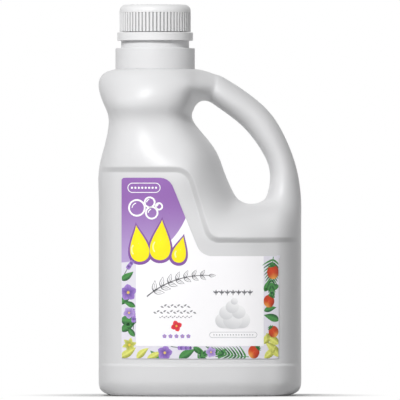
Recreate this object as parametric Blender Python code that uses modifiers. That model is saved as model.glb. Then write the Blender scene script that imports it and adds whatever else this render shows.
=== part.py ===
"""A 1.8 litre hand soap refill bottle with a side handle, built as the real one is made.

One blow-moulded bottle with a hollow handle, a moulded screw cap with its liner, the tamper
band that the cap leaves on the neck, a front label film, and the soap inside.
Units are metres, +Z is up, the label faces -Y, and the origin is under the middle of the base.
"""
import math

import bmesh
import bpy
from mathutils import Matrix, Vector
from mathutils.bvhtree import BVHTree

MM = 0.001

# Sizes of the bottle's body; a level is a share of the shoulder's height
BODY_WIDTH = 140 * MM
BODY_DEPTH = 102 * MM
BODY_SQUARENESS = 2.6
SHOULDER_HEIGHT = 225.5 * MM
BASE_RADIUS = 8.8 * MM
WALL = 1.2 * MM
HALF_WIDTH = BODY_WIDTH / 2
HALF_DEPTH = BODY_DEPTH / 2
WAIST_DEPTH = 0.735 * BODY_DEPTH
WAIST_LEVEL = 0.838
HEAD_DEPTH = 0.853 * BODY_DEPTH
HEAD_LEVEL = 0.94
HANDLE_DEPTH = 29 * MM
HANDLE_ROOT_DEPTH = 38 * MM
BASE_TRIM = 0.3 * MM
PUSH_UP_RISE = 4.5 * MM
PUSH_UP_MARGIN = 13 * MM
TRIM_REACH = 20 * MM

# Clearance between pieces that seat on one another, and how far joined forms run into each other
GAP = 0.3 * MM
SUNK = 0.5 * MM

# Radii of the neck and of what turns on it, about an axis left of the bottle's middle
NECK_OFFSET = -0.443 * HALF_WIDTH
COLLAR_RADIUS = 27.45 * MM
FINISH_RADIUS = 21.3 * MM
NECK_BORE = FINISH_RADIUS - 1.9 * MM
NECK_RADIUS = FINISH_RADIUS + 2.2 * MM
BEAD_RADIUS = FINISH_RADIUS + 3.1 * MM
THREAD_DEPTH = 1.2 * MM
THREAD_PLAY = 0.5 * MM
CAP_WALL = 1.6 * MM
CAP_BORE = FINISH_RADIUS + THREAD_DEPTH + THREAD_PLAY
CAP_RADIUS = CAP_BORE + CAP_WALL
BAND_BORE = BEAD_RADIUS + 2 * GAP
BAND_RADIUS = BAND_BORE + 1.2 * MM

# Heights of the neck, from the shoulder up, and of the cap and the band, from the rim down
NECK_HEIGHT = 40.9 * MM
COLLAR_HEIGHT = 14.5 * MM
RIM_HEIGHT = SHOULDER_HEIGHT + NECK_HEIGHT
LINER_THICKNESS = 1.2 * MM
CAP_TOP_WALL = 1.8 * MM
CAP_TOP = RIM_HEIGHT + GAP + LINER_THICKNESS + GAP + CAP_TOP_WALL
CAP_HEIGHT = 18.7 * MM
CAP_FOOT = CAP_TOP - CAP_HEIGHT
CAP_EDGE_RADIUS = 4.2 * MM
BAND_HEIGHT = 5.75 * MM
BAND_LIP = 1.1 * MM
BAND_TOP = CAP_FOOT - 1.5 * GAP
BAND_FOOT = BAND_TOP - BAND_HEIGHT
BEAD_FOOT = BAND_FOOT + BAND_LIP + GAP
BEAD_HEIGHT = 3.2 * MM

# The screw thread and the cap's ribs
THREAD_PITCH = 6 * MM
THREAD_WIDTH = 1.9 * MM
THREAD_TURNS = 1.4
CAP_THREAD_TURNS = 1.2
THREAD_START = CAP_FOOT + 2.9 * MM
RIB_COUNT = 60
RIB_GROOVE_WIDTH = 0.95 * MM
RIB_GROOVE_DEPTH = 0.45 * MM
RIB_FOOT = CAP_FOOT + 0.4 * MM
RIB_TOP = CAP_TOP - CAP_EDGE_RADIUS - 0.7 * MM

# The label panel, the label's margins in it, and the filling
PANEL_RECESS = 1.3 * MM
PANEL_FOOT = 21.5 * MM
PANEL_STEP_TOP = 0.4772 * SHOULDER_HEIGHT
PANEL_SIDE_TOP = 0.6918 * SHOULDER_HEIGHT
PANEL_STEP_X = 0.094 * HALF_WIDTH
PANEL_SIDE_X = -0.121 * HALF_WIDTH
PANEL_STEP_RADIUS = 9.2 * MM
PANEL_SIDE_RADIUS = 11 * MM
LABEL_LEFT = -0.784 * HALF_WIDTH
LABEL_RIGHT = 0.774 * HALF_WIDTH
LABEL_MARGIN = 5.7 * MM
LABEL_FOOT = PANEL_FOOT + 0.77 * LABEL_MARGIN
LABEL_TOP = PANEL_SIDE_TOP - LABEL_MARGIN
LABEL_STEP_TOP = PANEL_STEP_TOP - 1.965 * LABEL_MARGIN
LABEL_STEP_X = PANEL_STEP_X - 1.02 * LABEL_MARGIN
LABEL_SIDE_X = PANEL_SIDE_X - 2.21 * LABEL_MARGIN
LABEL_CORNER_RADIUS = 0.8 * MM
LABEL_FILM = 0.3 * MM
LABEL_STRIPS = 18
LABEL_LEVELS = 6
FILL_HEIGHT = 0.9135 * SHOULDER_HEIGHT

# How finely forms are rounded, and how often the cage is fitted
FIT_ROUNDS = 40
SKIN_LEVELS = 2
FLAT_ANGLE = math.radians(2)
TURN_STEPS = 40


def new_collection(name):
    """A fresh collection under the scene's own."""
    made = bpy.data.collections.new(name)
    bpy.context.scene.collection.children.link(made)
    return made


def mesh_object(name, bm, collection):
    """An object that holds the bmesh, shaded smooth."""
    mesh = bpy.data.meshes.new(name)
    bm.to_mesh(mesh)
    bm.free()
    mesh.shade_smooth()
    made = bpy.data.objects.new(name, mesh)
    collection.objects.link(made)
    return made


def as_guide(made):
    """Marks an object that only cuts or guides the others."""
    made.hide_render = True
    made.display_type = "WIRE"
    return made


def boolean(target, operation, tool):
    """A Boolean modifier of target by another object."""
    step = target.modifiers.new(f"{operation.lower()} {tool.name}", "BOOLEAN")
    step.operation = operation
    step.object = tool
    step.solver = "EXACT"


def material(name, colour, roughness):
    """A moulded plastic, film or liquid with one colour."""
    made = bpy.data.materials.new(name)
    made.use_nodes = True
    shader = made.node_tree.nodes["Principled BSDF"]
    shader.inputs["Base Color"].default_value = (*colour, 1)
    shader.inputs["Roughness"].default_value = roughness
    shader.inputs["Metallic"].default_value = 0
    return made


def crown(share, squareness):
    """Depth of a rounded section at a share of its half width, as a share of its half depth."""
    return (1 - abs(share) ** squareness) ** (1 / squareness)


def block_row(height, inset):
    """Half a ring round the wide lower body, from its left edge to its right one."""
    shares = (-1, -0.9, -0.6, -0.23, 0.09, 0.32, 0.5, 0.67, 0.87, 1)
    wide = HALF_WIDTH - inset
    deep = HALF_DEPTH - inset
    row = []
    for share in shares:
        row.append(Vector((share * wide, -crown(share, BODY_SQUARENESS) * deep, height)))
    return row


def trunk_row(level, left, right, depth, squareness):
    """Half a ring round the trunk beside the finger hole, between two shares of the half width."""
    middle = (left + right) / 2 * HALF_WIDTH
    half = (right - left) / 2 * HALF_WIDTH
    shares = (-1, -0.84, -0.4, 0.14, 0.68, 1)
    row = []
    for share in shares:
        deep = crown(share, squareness) * depth / 2
        row.append(Vector((middle + share * half, -deep, level * SHOULDER_HEIGHT)))
    return row


def panel_trunk_row(level, right):
    """As trunk_row, with the front of the lower body, so that the label lies on one flat sweep."""
    turning = -0.357
    row = block_row(level * SHOULDER_HEIGHT, 0)[:4]
    for share in (0.66, 1):
        row.append(at(turning + share * (right - turning), crown(share, 2.2), level))
    return row


def at(across, forward, level):
    """A point by its shares of the half width, of the half depth and of the shoulder's height."""
    return Vector((across * HALF_WIDTH, -forward * HALF_DEPTH, level * SHOULDER_HEIGHT))


def handle_row(inner, outer, depth):
    """Half a ring round the handle, given by its hole edge and its outer edge in the front view."""
    near = at(inner[0], 0, inner[1])
    far = at(outer[0], 0, outer[1])
    front = (near + far) / 2
    front.y = -depth / 2
    return [near, front, far]


def head_row():
    """Half a ring round the head at its widest, running out into the top of the handle."""
    deep = HEAD_DEPTH / BODY_DEPTH
    row = []
    for across, share in ((-0.999, 0), (-0.879, 0.58), (-0.686, 0.9), (-0.443, 1), (-0.214, 0.9)):
        row.append(at(across, share * deep, HEAD_LEVEL))
    row += [at(-0.093, 0.73 * deep, HEAD_LEVEL), at(-0.007, 0.563 * deep, HEAD_LEVEL)]
    row += [at(0.079, 0.437 * deep, HEAD_LEVEL + 0.0045), at(0.143, 0.299 * deep, HEAD_LEVEL + 0.02)]
    row.append(at(0.15, 0, HEAD_LEVEL + 0.044))
    return row


def collar_row(radius):
    """Half a ring at the collar's foot, its points gathered on the side of the handle."""
    row = []
    for degrees in (180, 148, 118, 92, 68, 50, 38, 27, 14, 0):
        angle = math.radians(degrees)
        x = NECK_OFFSET + radius * math.cos(angle)
        row.append(Vector((x, -radius * math.sin(angle), SHOULDER_HEIGHT)))
    return row


def skin_rows():
    """The points that the front half of the body passes through, row by row from the base up.

    Each row runs from the left edge to the right edge of the front view. Beside the finger hole
    a row has None where the hole is, and its last three points are the handle's.
    """
    corner = BASE_RADIUS * (1 - math.sqrt(0.5))
    ledge = block_row(0.5366 * SHOULDER_HEIGHT, 0)[:4]
    ledge += [at(0.107, 0.931, 0.541), at(0.314, 0.755, 0.55), at(0.5, 0.647, 0.5565)]
    ledge += [at(0.671, 0.627, 0.5565), at(0.857, 0.549, 0.552), at(1, 0, 0.5455)]
    hole_foot = panel_trunk_row(0.6075, 0.357) + [at(0.4986, 0, 0.5871)]
    hole_foot += handle_row((0.6457, 0.604), (0.9971, 0.6075), HANDLE_ROOT_DEPTH)
    above_foot = panel_trunk_row(0.6874, 0.237) + [None]
    above_foot += handle_row((0.6886, 0.6865), (0.9471, 0.7033), HANDLE_DEPTH)
    below_waist = trunk_row(0.7627, -0.946, 0.129, 0.882 * BODY_DEPTH, 2.4) + [None]
    below_waist += handle_row((0.5857, 0.761), (0.8143, 0.8071), HANDLE_DEPTH)
    waist = trunk_row(WAIST_LEVEL, -0.901, -0.061, WAIST_DEPTH, 2.3) + [None]
    waist += handle_row((0.3943, 0.8319), (0.6057, 0.8931), HANDLE_DEPTH)
    hole_top = trunk_row(0.8869, -0.941, -0.046, 0.775 * BODY_DEPTH, 2.3) + [at(0.0429, 0, 0.9029)]
    hole_top += handle_row((0.1357, 0.8922), (0.2757, 0.9667), 1.1 * HANDLE_DEPTH)
    shoulder = [at(-0.961, 0, 0.9836), at(-0.857, 0.392, 0.9836), at(-0.671, 0.657, 0.9836)]
    shoulder += [at(-0.457, 0.735, 0.9836), at(-0.243, 0.667, 0.9827), at(-0.121, 0.539, 0.98)]
    shoulder += [at(-0.064, 0.431, 0.9783), at(-0.014, 0.3235, 0.9796), at(0.026, 0.196, 0.9863)]
    shoulder.append(at(0.043, 0, 0.9951))
    return [
        block_row(-BASE_TRIM, BASE_RADIUS * 3),
        block_row(-BASE_TRIM, BASE_RADIUS),
        block_row(corner, corner),
        block_row(BASE_RADIUS, 0),
        block_row(0.133 * SHOULDER_HEIGHT, 0),
        block_row(0.4169 * SHOULDER_HEIGHT, 0),
        block_row(0.4878 * SHOULDER_HEIGHT, 0),
        ledge,
        hole_foot,
        above_foot,
        below_waist,
        waist,
        hole_top,
        head_row(),
        shoulder,
        collar_row(COLLAR_RADIUS),
        collar_row(COLLAR_RADIUS * 0.6),
    ]


def cage_mesh():
    """The half cage: quads between the rows, open at the plane where the two mould halves meet."""
    bm = bmesh.new()
    rows = [[bm.verts.new(place) if place else None for place in row] for row in skin_rows()]
    bm.faces.new(reversed(rows[0]))
    bm.faces.new(rows[-1])
    for low, high in zip(rows, rows[1:]):
        for corners in zip(low, low[1:], high[1:], high):
            if None not in corners:
                bm.faces.new(corners)
    return bm


def evaluated(made):
    """The object's mesh as its modifiers leave it."""
    bpy.context.view_layer.update()
    graph = bpy.context.evaluated_depsgraph_get()
    return bpy.data.meshes.new_from_object(made.evaluated_get(graph))


def add_skin_modifiers(made, levels):
    """Mirrors the front half and rounds the cage."""
    mirror = made.modifiers.new("both halves", "MIRROR")
    mirror.use_axis = (False, True, False)
    mirror.use_clip = True
    mirror.merge_threshold = 0.01 * MM
    smooth = made.modifiers.new("rounded", "SUBSURF")
    smooth.levels = levels
    smooth.render_levels = levels


def fitted_cage(collection):
    """The cage, moved until the rounded skin passes through the points that it was drawn with."""
    made = mesh_object("cage", cage_mesh(), collection)
    add_skin_modifiers(made, SKIN_LEVELS)
    wanted = [corner.co.copy() for corner in made.data.vertices]
    for _ in range(FIT_ROUNDS):
        rounded = evaluated(made)
        for corner, place in zip(made.data.vertices, wanted):
            corner.co += place - rounded.vertices[corner.index].co
        bpy.data.meshes.remove(rounded)
    return as_guide(made)


def skin(name, cage, collection, inward=0, depth_share=1, levels=SKIN_LEVELS):
    """A copy of the bottle's skin, made shallower in Y by a share, then drawn inwards."""
    made = bpy.data.objects.new(name, cage.data.copy())
    collection.objects.link(made)
    for corner in made.data.vertices:
        corner.co.y *= depth_share
    add_skin_modifiers(made, levels)
    if levels == SKIN_LEVELS:
        flats = made.modifiers.new("flat strips joined", "DECIMATE")
        flats.decimate_type = "DISSOLVE"
        flats.angle_limit = FLAT_ANGLE
    halves = made.modifiers.new("same triangles at any depth", "TRIANGULATE")
    halves.quad_method = "FIXED"
    if inward:
        draw_in = made.modifiers.new("drawn in", "DISPLACE")
        draw_in.mid_level = 0
        draw_in.strength = -inward
    return made


def turned(name, profile, collection, x=NECK_OFFSET, steps=TURN_STEPS):
    """A piece turned about an upright axis; the profile runs down its outer side."""
    bm = bmesh.new()
    corners = [bm.verts.new((radius, 0, height)) for radius, height in profile]
    for a, b in zip(corners, corners[1:]):
        bm.edges.new((a, b))
    if profile[0][0] > 0:
        bm.edges.new((corners[-1], corners[0]))
    made = mesh_object(name, bm, collection)
    made.location.x = x
    turn = made.modifiers.new("turned", "SCREW")
    turn.steps = steps
    turn.render_steps = steps
    turn.use_merge_vertices = True
    turn.merge_threshold = 0.01 * MM
    turn.use_smooth_shade = True
    return made


def arc(centre_radius, centre_height, radius, start, end, count=6):
    """Points of a profile along a rounding, its angles in degrees from +X towards +Z."""
    places = []
    for step in range(count + 1):
        angle = math.radians(start + (end - start) * step / count)
        places.append((centre_radius + radius * math.cos(angle), centre_height + radius * math.sin(angle)))
    return places


def thread(name, root, crest, start, turns, collection, steps_a_turn=24):
    """A helical ridge from root to crest, sunk into its wall and fading out at both ends."""
    bm = bmesh.new()
    count = round(turns * steps_a_turn)
    fade = steps_a_turn // 6
    sunk = math.copysign(SUNK, root - crest)
    rings = []
    for step in range(count + 1):
        turn = step / steps_a_turn
        height = start + turn * THREAD_PITCH
        full = min(1, step / fade, (count - step) / fade)
        tip = root + (crest - root) * max(full, 0.05)
        half = THREAD_WIDTH / 2
        section = ((root + sunk, -half), (tip, -half / 2), (tip, half / 2), (root + sunk, half))
        ring = []
        for radius, rise in section:
            place = (radius * math.cos(turn * math.tau), radius * math.sin(turn * math.tau), height + rise)
            ring.append(bm.verts.new(place))
        rings.append(ring)
    for low, high in zip(rings, rings[1:]):
        for a, b, c, d in zip(low, low[1:] + low[:1], high[1:] + high[:1], high):
            bm.faces.new((a, b, c, d))
    bm.faces.new(reversed(rings[0]))
    bm.faces.new(rings[-1])
    bmesh.ops.recalc_face_normals(bm, faces=bm.faces)
    made = mesh_object(name, bm, collection)
    made.location.x = NECK_OFFSET
    return made


def rounded_outline(corners):
    """An outline of straight runs, each corner (x, z, radius) rounded by an arc."""
    outline = []
    places = [Vector((x, z)) for x, z, _ in corners]
    for index, (_, _, radius) in enumerate(corners):
        here = places[index]
        before = (places[index - 1] - here).normalized()
        after = (places[(index + 1) % len(places)] - here).normalized()
        if not radius:
            outline.append(here)
            continue
        half_angle = before.angle(after) / 2
        middle = here + (before + after).normalized() * radius / math.sin(half_angle)
        reach = radius / math.tan(half_angle)
        first = here + before * reach - middle
        last = here + after * reach - middle
        sweep = first.angle_signed(last)
        for step in range(7):
            angle = -sweep * step / 6
            turned_by = Vector((
                first.x * math.cos(angle) - first.y * math.sin(angle),
                first.x * math.sin(angle) + first.y * math.cos(angle),
            ))
            outline.append(middle + turned_by)
    return outline


def panel_outline(grow=0):
    """The label panel's outline in the front view, with its S-shaped step beside the trunk."""
    beyond = HALF_WIDTH + TRIM_REACH
    step_foot = (PANEL_STEP_X + grow, PANEL_STEP_TOP + grow)
    step_head = (PANEL_SIDE_X + grow, PANEL_SIDE_TOP + grow)
    return rounded_outline((
        (-beyond, PANEL_FOOT - grow, 0),
        (beyond, PANEL_FOOT - grow, 0),
        (beyond, step_foot[1], 0),
        (*step_foot, PANEL_STEP_RADIUS),
        (*step_head, PANEL_SIDE_RADIUS),
        (-beyond, step_head[1], 0),
    ))


def label_outline():
    """The label's outline: a wide foot and a tall left side, joined by an S-shaped edge."""
    corner = LABEL_CORNER_RADIUS
    return rounded_outline((
        (LABEL_LEFT, LABEL_FOOT, corner),
        (LABEL_RIGHT, LABEL_FOOT, corner),
        (LABEL_RIGHT, LABEL_STEP_TOP, corner),
        (LABEL_STEP_X, LABEL_STEP_TOP, PANEL_STEP_RADIUS + 2 * MM),
        (LABEL_SIDE_X, LABEL_TOP, PANEL_SIDE_RADIUS - 1.2 * MM),
        (LABEL_LEFT, LABEL_TOP, corner),
    ))


def upright_slab(name, outline, near, far, collection):
    """A prism with the given front outline, from depth near to depth far."""
    bm = bmesh.new()
    face = bm.faces.new([bm.verts.new((place.x, near, place.y)) for place in outline])
    pulled = bmesh.ops.extrude_face_region(bm, geom=[face])
    moved = [item for item in pulled["geom"] if isinstance(item, bmesh.types.BMVert)]
    bmesh.ops.translate(bm, verts=moved, vec=(0, far - near, 0))
    bmesh.ops.recalc_face_normals(bm, faces=bm.faces)
    return mesh_object(name, bm, collection)


def panel_cutter(name, cage, side, collection, grow=0, levels=SKIN_LEVELS):
    """What the panel's recess takes off one side: a slab less the panel's own, shallower skin."""
    near = side * (HALF_DEPTH + TRIM_REACH)
    far = side * PANEL_RECESS
    slab = upright_slab(name, panel_outline(grow), near, far, collection)
    share = 1 - PANEL_RECESS / HALF_DEPTH
    core = skin(f"{name} core", cage, collection, grow, share, levels)
    boolean(slab, "DIFFERENCE", as_guide(core))
    return as_guide(slab)


def push_up(name, grow, collection):
    """The hollow pressed up into the base, on a slab that trims whatever lies below the base."""
    bm = bmesh.new()
    rings = []
    slab = ((-TRIM_REACH, -TRIM_REACH), (-TRIM_REACH, 0), (PUSH_UP_MARGIN, 0))
    dome = ((1.3, 0.35), (1.77, 0.75), (2.54, 1))
    for inset, rise in slab + tuple((run * PUSH_UP_MARGIN, share * PUSH_UP_RISE) for run, share in dome):
        wide = HALF_WIDTH - inset + grow
        deep = HALF_DEPTH - inset + grow
        ring = []
        for step in range(32):
            angle = math.tau * step / 32
            x = wide * math.copysign(abs(math.cos(angle)) ** (2 / BODY_SQUARENESS), math.cos(angle))
            y = deep * math.copysign(abs(math.sin(angle)) ** (2 / BODY_SQUARENESS), math.sin(angle))
            ring.append(bm.verts.new((x, y, rise + grow)))
        rings.append(ring)
    for low, high in zip(rings, rings[1:]):
        for a, b, c, d in zip(low, low[1:] + low[:1], high[1:] + high[:1], high):
            bm.faces.new((a, b, c, d))
    bm.faces.new(reversed(rings[0]))
    bm.faces.new(rings[-1])
    bmesh.ops.recalc_face_normals(bm, faces=bm.faces)
    return as_guide(mesh_object(name, bm, collection))


def neck_solid(collection):
    """The neck as one turned solid: collar, neck, the bead that holds the band, and the finish."""
    collar_top = SHOULDER_HEIGHT + COLLAR_HEIGHT
    lip = 0.6 * MM
    profile = [(0, RIM_HEIGHT), (FINISH_RADIUS - lip, RIM_HEIGHT), (FINISH_RADIUS, RIM_HEIGHT - lip)]
    profile += [(FINISH_RADIUS, BEAD_FOOT + BEAD_HEIGHT), (BEAD_RADIUS, BEAD_FOOT + BEAD_HEIGHT / 2)]
    profile += [(BEAD_RADIUS, BEAD_FOOT), (NECK_RADIUS, BEAD_FOOT), (NECK_RADIUS, collar_top)]
    profile += arc(COLLAR_RADIUS - 0.8 * MM, collar_top - 0.8 * MM, 0.8 * MM, 90, 0, 3)
    profile += [(COLLAR_RADIUS, SHOULDER_HEIGHT - 4 * MM), (0, SHOULDER_HEIGHT - 4 * MM)]
    return as_guide(turned("neck form", profile, collection))


def neck_hollow(collection):
    """The bore through the neck, widening inside the collar."""
    wide = COLLAR_RADIUS - WALL
    high = SHOULDER_HEIGHT + COLLAR_HEIGHT - WALL
    profile = [(0, RIM_HEIGHT + 5 * MM), (NECK_BORE, RIM_HEIGHT + 5 * MM), (NECK_BORE, high + 3 * MM)]
    profile += [(wide - 1.5 * MM, high), (wide, high - 1.5 * MM)]
    profile += [(wide, SHOULDER_HEIGHT - 2.5 * MM), (0, SHOULDER_HEIGHT - 2.5 * MM)]
    return as_guide(turned("neck hollow", profile, collection))


def build_hollow(cutters, cage):
    """The room inside: the skin drawn in by the wall, with the panels' and the base's steps."""
    hollow = skin("hollow", cage, cutters, WALL, levels=1)
    for side, word in ((-1, "front"), (1, "back")):
        step = panel_cutter(f"{word} panel inside", cage, side, cutters, WALL, 1)
        boolean(hollow, "DIFFERENCE", step)
    boolean(hollow, "DIFFERENCE", push_up("base inside", WALL, cutters))
    return as_guide(hollow)


def build_bottle(parts, cutters, cage):
    """The blow-moulded bottle: skin and neck, less the panels and the hollow inside."""
    bottle = skin("bottle", cage, parts)
    boolean(bottle, "UNION", neck_solid(cutters))
    crest = FINISH_RADIUS + THREAD_DEPTH
    ridge = thread("neck thread", FINISH_RADIUS, crest, THREAD_START, THREAD_TURNS, cutters)
    boolean(bottle, "UNION", as_guide(ridge))
    for side, word in ((-1, "front"), (1, "back")):
        boolean(bottle, "DIFFERENCE", panel_cutter(f"{word} panel", cage, side, cutters))
    boolean(bottle, "DIFFERENCE", push_up("base", 0, cutters))
    boolean(bottle, "DIFFERENCE", build_hollow(cutters, cage))
    boolean(bottle, "DIFFERENCE", neck_hollow(cutters))
    bottle.data.materials.append(material("white polyethylene", (0.85, 0.85, 0.86), 0.42))


def build_soap(parts, cutters, cage):
    """The soap up to its level; its front and back keep to the depth of the panels all over."""
    inward = WALL + GAP
    soap = skin("soap_fill", cage, parts, inward, 1 - PANEL_RECESS / HALF_DEPTH, levels=1)
    boolean(soap, "DIFFERENCE", push_up("base under the soap", inward, cutters))
    reach = 2 * BODY_WIDTH
    corners = ((-reach, FILL_HEIGHT), (reach, FILL_HEIGHT), (reach, reach), (-reach, reach))
    square = [Vector(corner) for corner in corners]
    above = upright_slab("above the soap", square, -reach, reach, cutters)
    boolean(soap, "DIFFERENCE", as_guide(above))
    soap.data.materials.append(material("clear liquid soap", (0.82, 0.86, 0.84), 0.15))


def build_cap(parts, cutters):
    """The ribbed screw cap with its inner thread."""
    inner_top = CAP_TOP - CAP_TOP_WALL
    edge = CAP_EDGE_RADIUS
    profile = [(0, CAP_TOP)] + arc(CAP_RADIUS - edge, CAP_TOP - edge, edge, 90, 0, 5)
    profile += [(CAP_RADIUS, CAP_FOOT), (CAP_BORE, CAP_FOOT), (CAP_BORE, inner_top), (0, inner_top)]
    cap = turned("screw_cap", profile, parts, steps=RIB_COUNT)
    bm = bmesh.new()
    for index in range(RIB_COUNT):
        angle = math.tau * (index + 0.5) / RIB_COUNT
        made = bmesh.ops.create_cube(bm, size=1)["verts"]
        bmesh.ops.scale(bm, verts=made, vec=(2 * RIB_GROOVE_DEPTH, RIB_GROOVE_WIDTH, RIB_TOP - RIB_FOOT))
        bmesh.ops.translate(bm, verts=made, vec=(CAP_RADIUS, 0, (RIB_FOOT + RIB_TOP) / 2))
        bmesh.ops.rotate(bm, verts=made, cent=(0, 0, 0), matrix=Matrix.Rotation(angle, 3, "Z"))
    grooves = mesh_object("cap grooves", bm, cutters)
    grooves.location.x = NECK_OFFSET
    boolean(cap, "DIFFERENCE", as_guide(grooves))
    lowest = THREAD_START + THREAD_PITCH / 2
    ridge = thread("cap thread", CAP_BORE, CAP_BORE - THREAD_DEPTH, lowest, CAP_THREAD_TURNS, cutters)
    boolean(cap, "UNION", as_guide(ridge))
    cap.data.materials.append(material("white polypropylene", (0.9, 0.9, 0.9), 0.35))


def build_liner(parts):
    """The sealing disc between the cap's top and the bottle's rim."""
    foot = RIM_HEIGHT + GAP
    radius = CAP_BORE - 2 * GAP
    profile = [(0, foot + LINER_THICKNESS), (radius, foot + LINER_THICKNESS), (radius, foot), (0, foot)]
    liner = turned("cap_liner", profile, parts)
    liner.data.materials.append(material("grey liner foam", (0.75, 0.75, 0.75), 0.6))


def build_band(parts):
    """The tamper band, held on the neck by a lip that reaches under the bead."""
    lip = NECK_RADIUS + 1.2 * GAP
    profile = [(BAND_RADIUS, BAND_TOP), (BAND_RADIUS, BAND_FOOT), (lip, BAND_FOOT)]
    profile += [(lip, BAND_FOOT + BAND_LIP), (BAND_BORE, BAND_FOOT + BAND_LIP), (BAND_BORE, BAND_TOP)]
    band = turned("tamper_band", profile, parts)
    band.data.materials.append(material("white polypropylene band", (0.9, 0.9, 0.9), 0.35))


def build_label(parts, cutters, cage):
    """The front label: its outline cut into small patches, laid on the panel and given its film."""
    bm = bmesh.new()
    bm.faces.new([bm.verts.new((place.x, 0, place.y)) for place in label_outline()])
    cuts = []
    for step in range(1, LABEL_STRIPS):
        x = LABEL_LEFT + (LABEL_RIGHT - LABEL_LEFT) * step / LABEL_STRIPS
        cuts.append((Vector((x, 0, 0)), (1, 0, 0)))
    for step in range(LABEL_LEVELS):
        height = LABEL_STEP_TOP + (LABEL_TOP - LABEL_STEP_TOP) * step / LABEL_LEVELS
        cuts.append((Vector((0, 0, height - LABEL_FILM)), (0, 0, 1)))
    for place, across in cuts:
        everything = bm.verts[:] + bm.edges[:] + bm.faces[:]
        bmesh.ops.bisect_plane(bm, geom=everything, plane_co=place, plane_no=across)
    panel = as_guide(skin("panel guide", cage, cutters, depth_share=1 - PANEL_RECESS / HALF_DEPTH))
    bpy.context.view_layer.update()
    surface = BVHTree.FromObject(panel, bpy.context.evaluated_depsgraph_get())
    for corner in bm.verts:
        start = Vector((corner.co.x, -BODY_DEPTH, corner.co.z))
        corner.co.y = surface.ray_cast(start, Vector((0, 1, 0)))[0].y - GAP
    label = mesh_object("front_label", bm, parts)
    film = label.modifiers.new("film", "SOLIDIFY")
    film.thickness = LABEL_FILM
    film.offset = 1
    label.data.materials.append(material("printed label film", (0.93, 0.92, 0.94), 0.3))


def main():
    for old in list(bpy.data.objects):
        bpy.data.objects.remove(old)
    parts = new_collection("hand_soap_refill_bottle")
    cutters = new_collection("cutters")
    cage = fitted_cage(cutters)
    build_bottle(parts, cutters, cage)
    build_soap(parts, cutters, cage)
    build_cap(parts, cutters)
    build_liner(parts)
    build_band(parts)
    build_label(parts, cutters, cage)


main()
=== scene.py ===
# %% [markdown]
# A refill bottle of hand soap: a white, blow-moulded body with a handle pulled out of the same
# tube of plastic, a ribbed screw cap, and a printed film label in a shallow panel. The packed
# model gives every size and every moving body. This script gives the surfaces: it rebuilds the
# visible pieces finely enough for close looks and dresses them with node materials.

import math

import bmesh
import bpy
import numpy as np
from mathutils import Matrix, Vector
from mathutils.bvhtree import BVHTree


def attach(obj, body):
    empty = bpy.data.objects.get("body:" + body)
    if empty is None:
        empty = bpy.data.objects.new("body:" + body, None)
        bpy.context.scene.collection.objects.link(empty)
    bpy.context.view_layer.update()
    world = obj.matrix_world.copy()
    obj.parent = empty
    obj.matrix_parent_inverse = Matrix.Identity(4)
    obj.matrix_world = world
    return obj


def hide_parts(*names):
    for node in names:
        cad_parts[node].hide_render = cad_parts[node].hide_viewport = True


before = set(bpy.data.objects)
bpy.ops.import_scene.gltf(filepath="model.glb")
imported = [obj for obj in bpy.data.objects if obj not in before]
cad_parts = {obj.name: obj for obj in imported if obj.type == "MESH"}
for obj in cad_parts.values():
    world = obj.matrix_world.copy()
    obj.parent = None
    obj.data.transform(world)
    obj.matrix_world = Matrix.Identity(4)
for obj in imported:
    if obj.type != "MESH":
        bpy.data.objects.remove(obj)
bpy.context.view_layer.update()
MM = 0.001
print("nodes in the frame:", ", ".join(sorted(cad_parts)))

# %% [markdown]
# The picture is taken from straight ahead with a very long lens, so lines that run away from the
# viewer hardly close in. An orthographic camera would have no perspective at all, so a real one
# stands eight metres off instead, with a lens to match. One pixel of the square picture is
# 0.6914 mm at the bottle's middle.

# %% Camera
PIXEL = 0.6914 * MM
PICTURE_SIDE = 400
CAMERA_DISTANCE = 8
VIEW_HEIGHT = 135.0 * MM

camera_data = bpy.data.cameras.new("camera")
camera_data.sensor_width = 36
camera_data.lens = camera_data.sensor_width * CAMERA_DISTANCE / (PIXEL * PICTURE_SIDE)
camera_data.clip_end = 40
camera = bpy.data.objects.new("camera", camera_data)
bpy.context.scene.collection.objects.link(camera)
camera.location = (0, -CAMERA_DISTANCE, VIEW_HEIGHT)
camera.rotation_euler = (math.pi / 2, 0, 0)
bpy.context.scene.camera = camera
bpy.context.scene.view_settings.view_transform = "Standard"
print(f"lens {camera_data.lens:.0f} mm")

# %% [markdown]
# Node trees are easier to read as arithmetic. The class Signal wraps a socket, so that
# `1 - mask` or `noise * 0.2` adds the Math nodes by itself. The class Nodes fills any tree, of a
# material, of the world or of Geometry Nodes, and has a single method that adds a node. The
# class Net is one material's tree, with short names for what the finishes use most.

# %% Shader arithmetic
class Signal:
    """A value in a node tree that answers to plain arithmetic."""

    def __init__(self, net, socket):
        self.net = net
        self.socket = socket

    def calculate(self, operation, *values):
        return self.net.node("ShaderNodeMath", {"operation": operation}, values)

    def __abs__(self):
        return self.calculate("ABSOLUTE", self)

    def __add__(self, other):
        return self.calculate("ADD", self, other)

    def __sub__(self, other):
        return self.calculate("SUBTRACT", self, other)

    def __rsub__(self, other):
        return self.calculate("SUBTRACT", other, self)

    def __mul__(self, other):
        return self.calculate("MULTIPLY", self, other)

    def __truediv__(self, other):
        return self.calculate("DIVIDE", self, other)

    def __pow__(self, other):
        return self.calculate("POWER", self, other)

    __radd__ = __add__
    __rmul__ = __mul__


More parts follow.
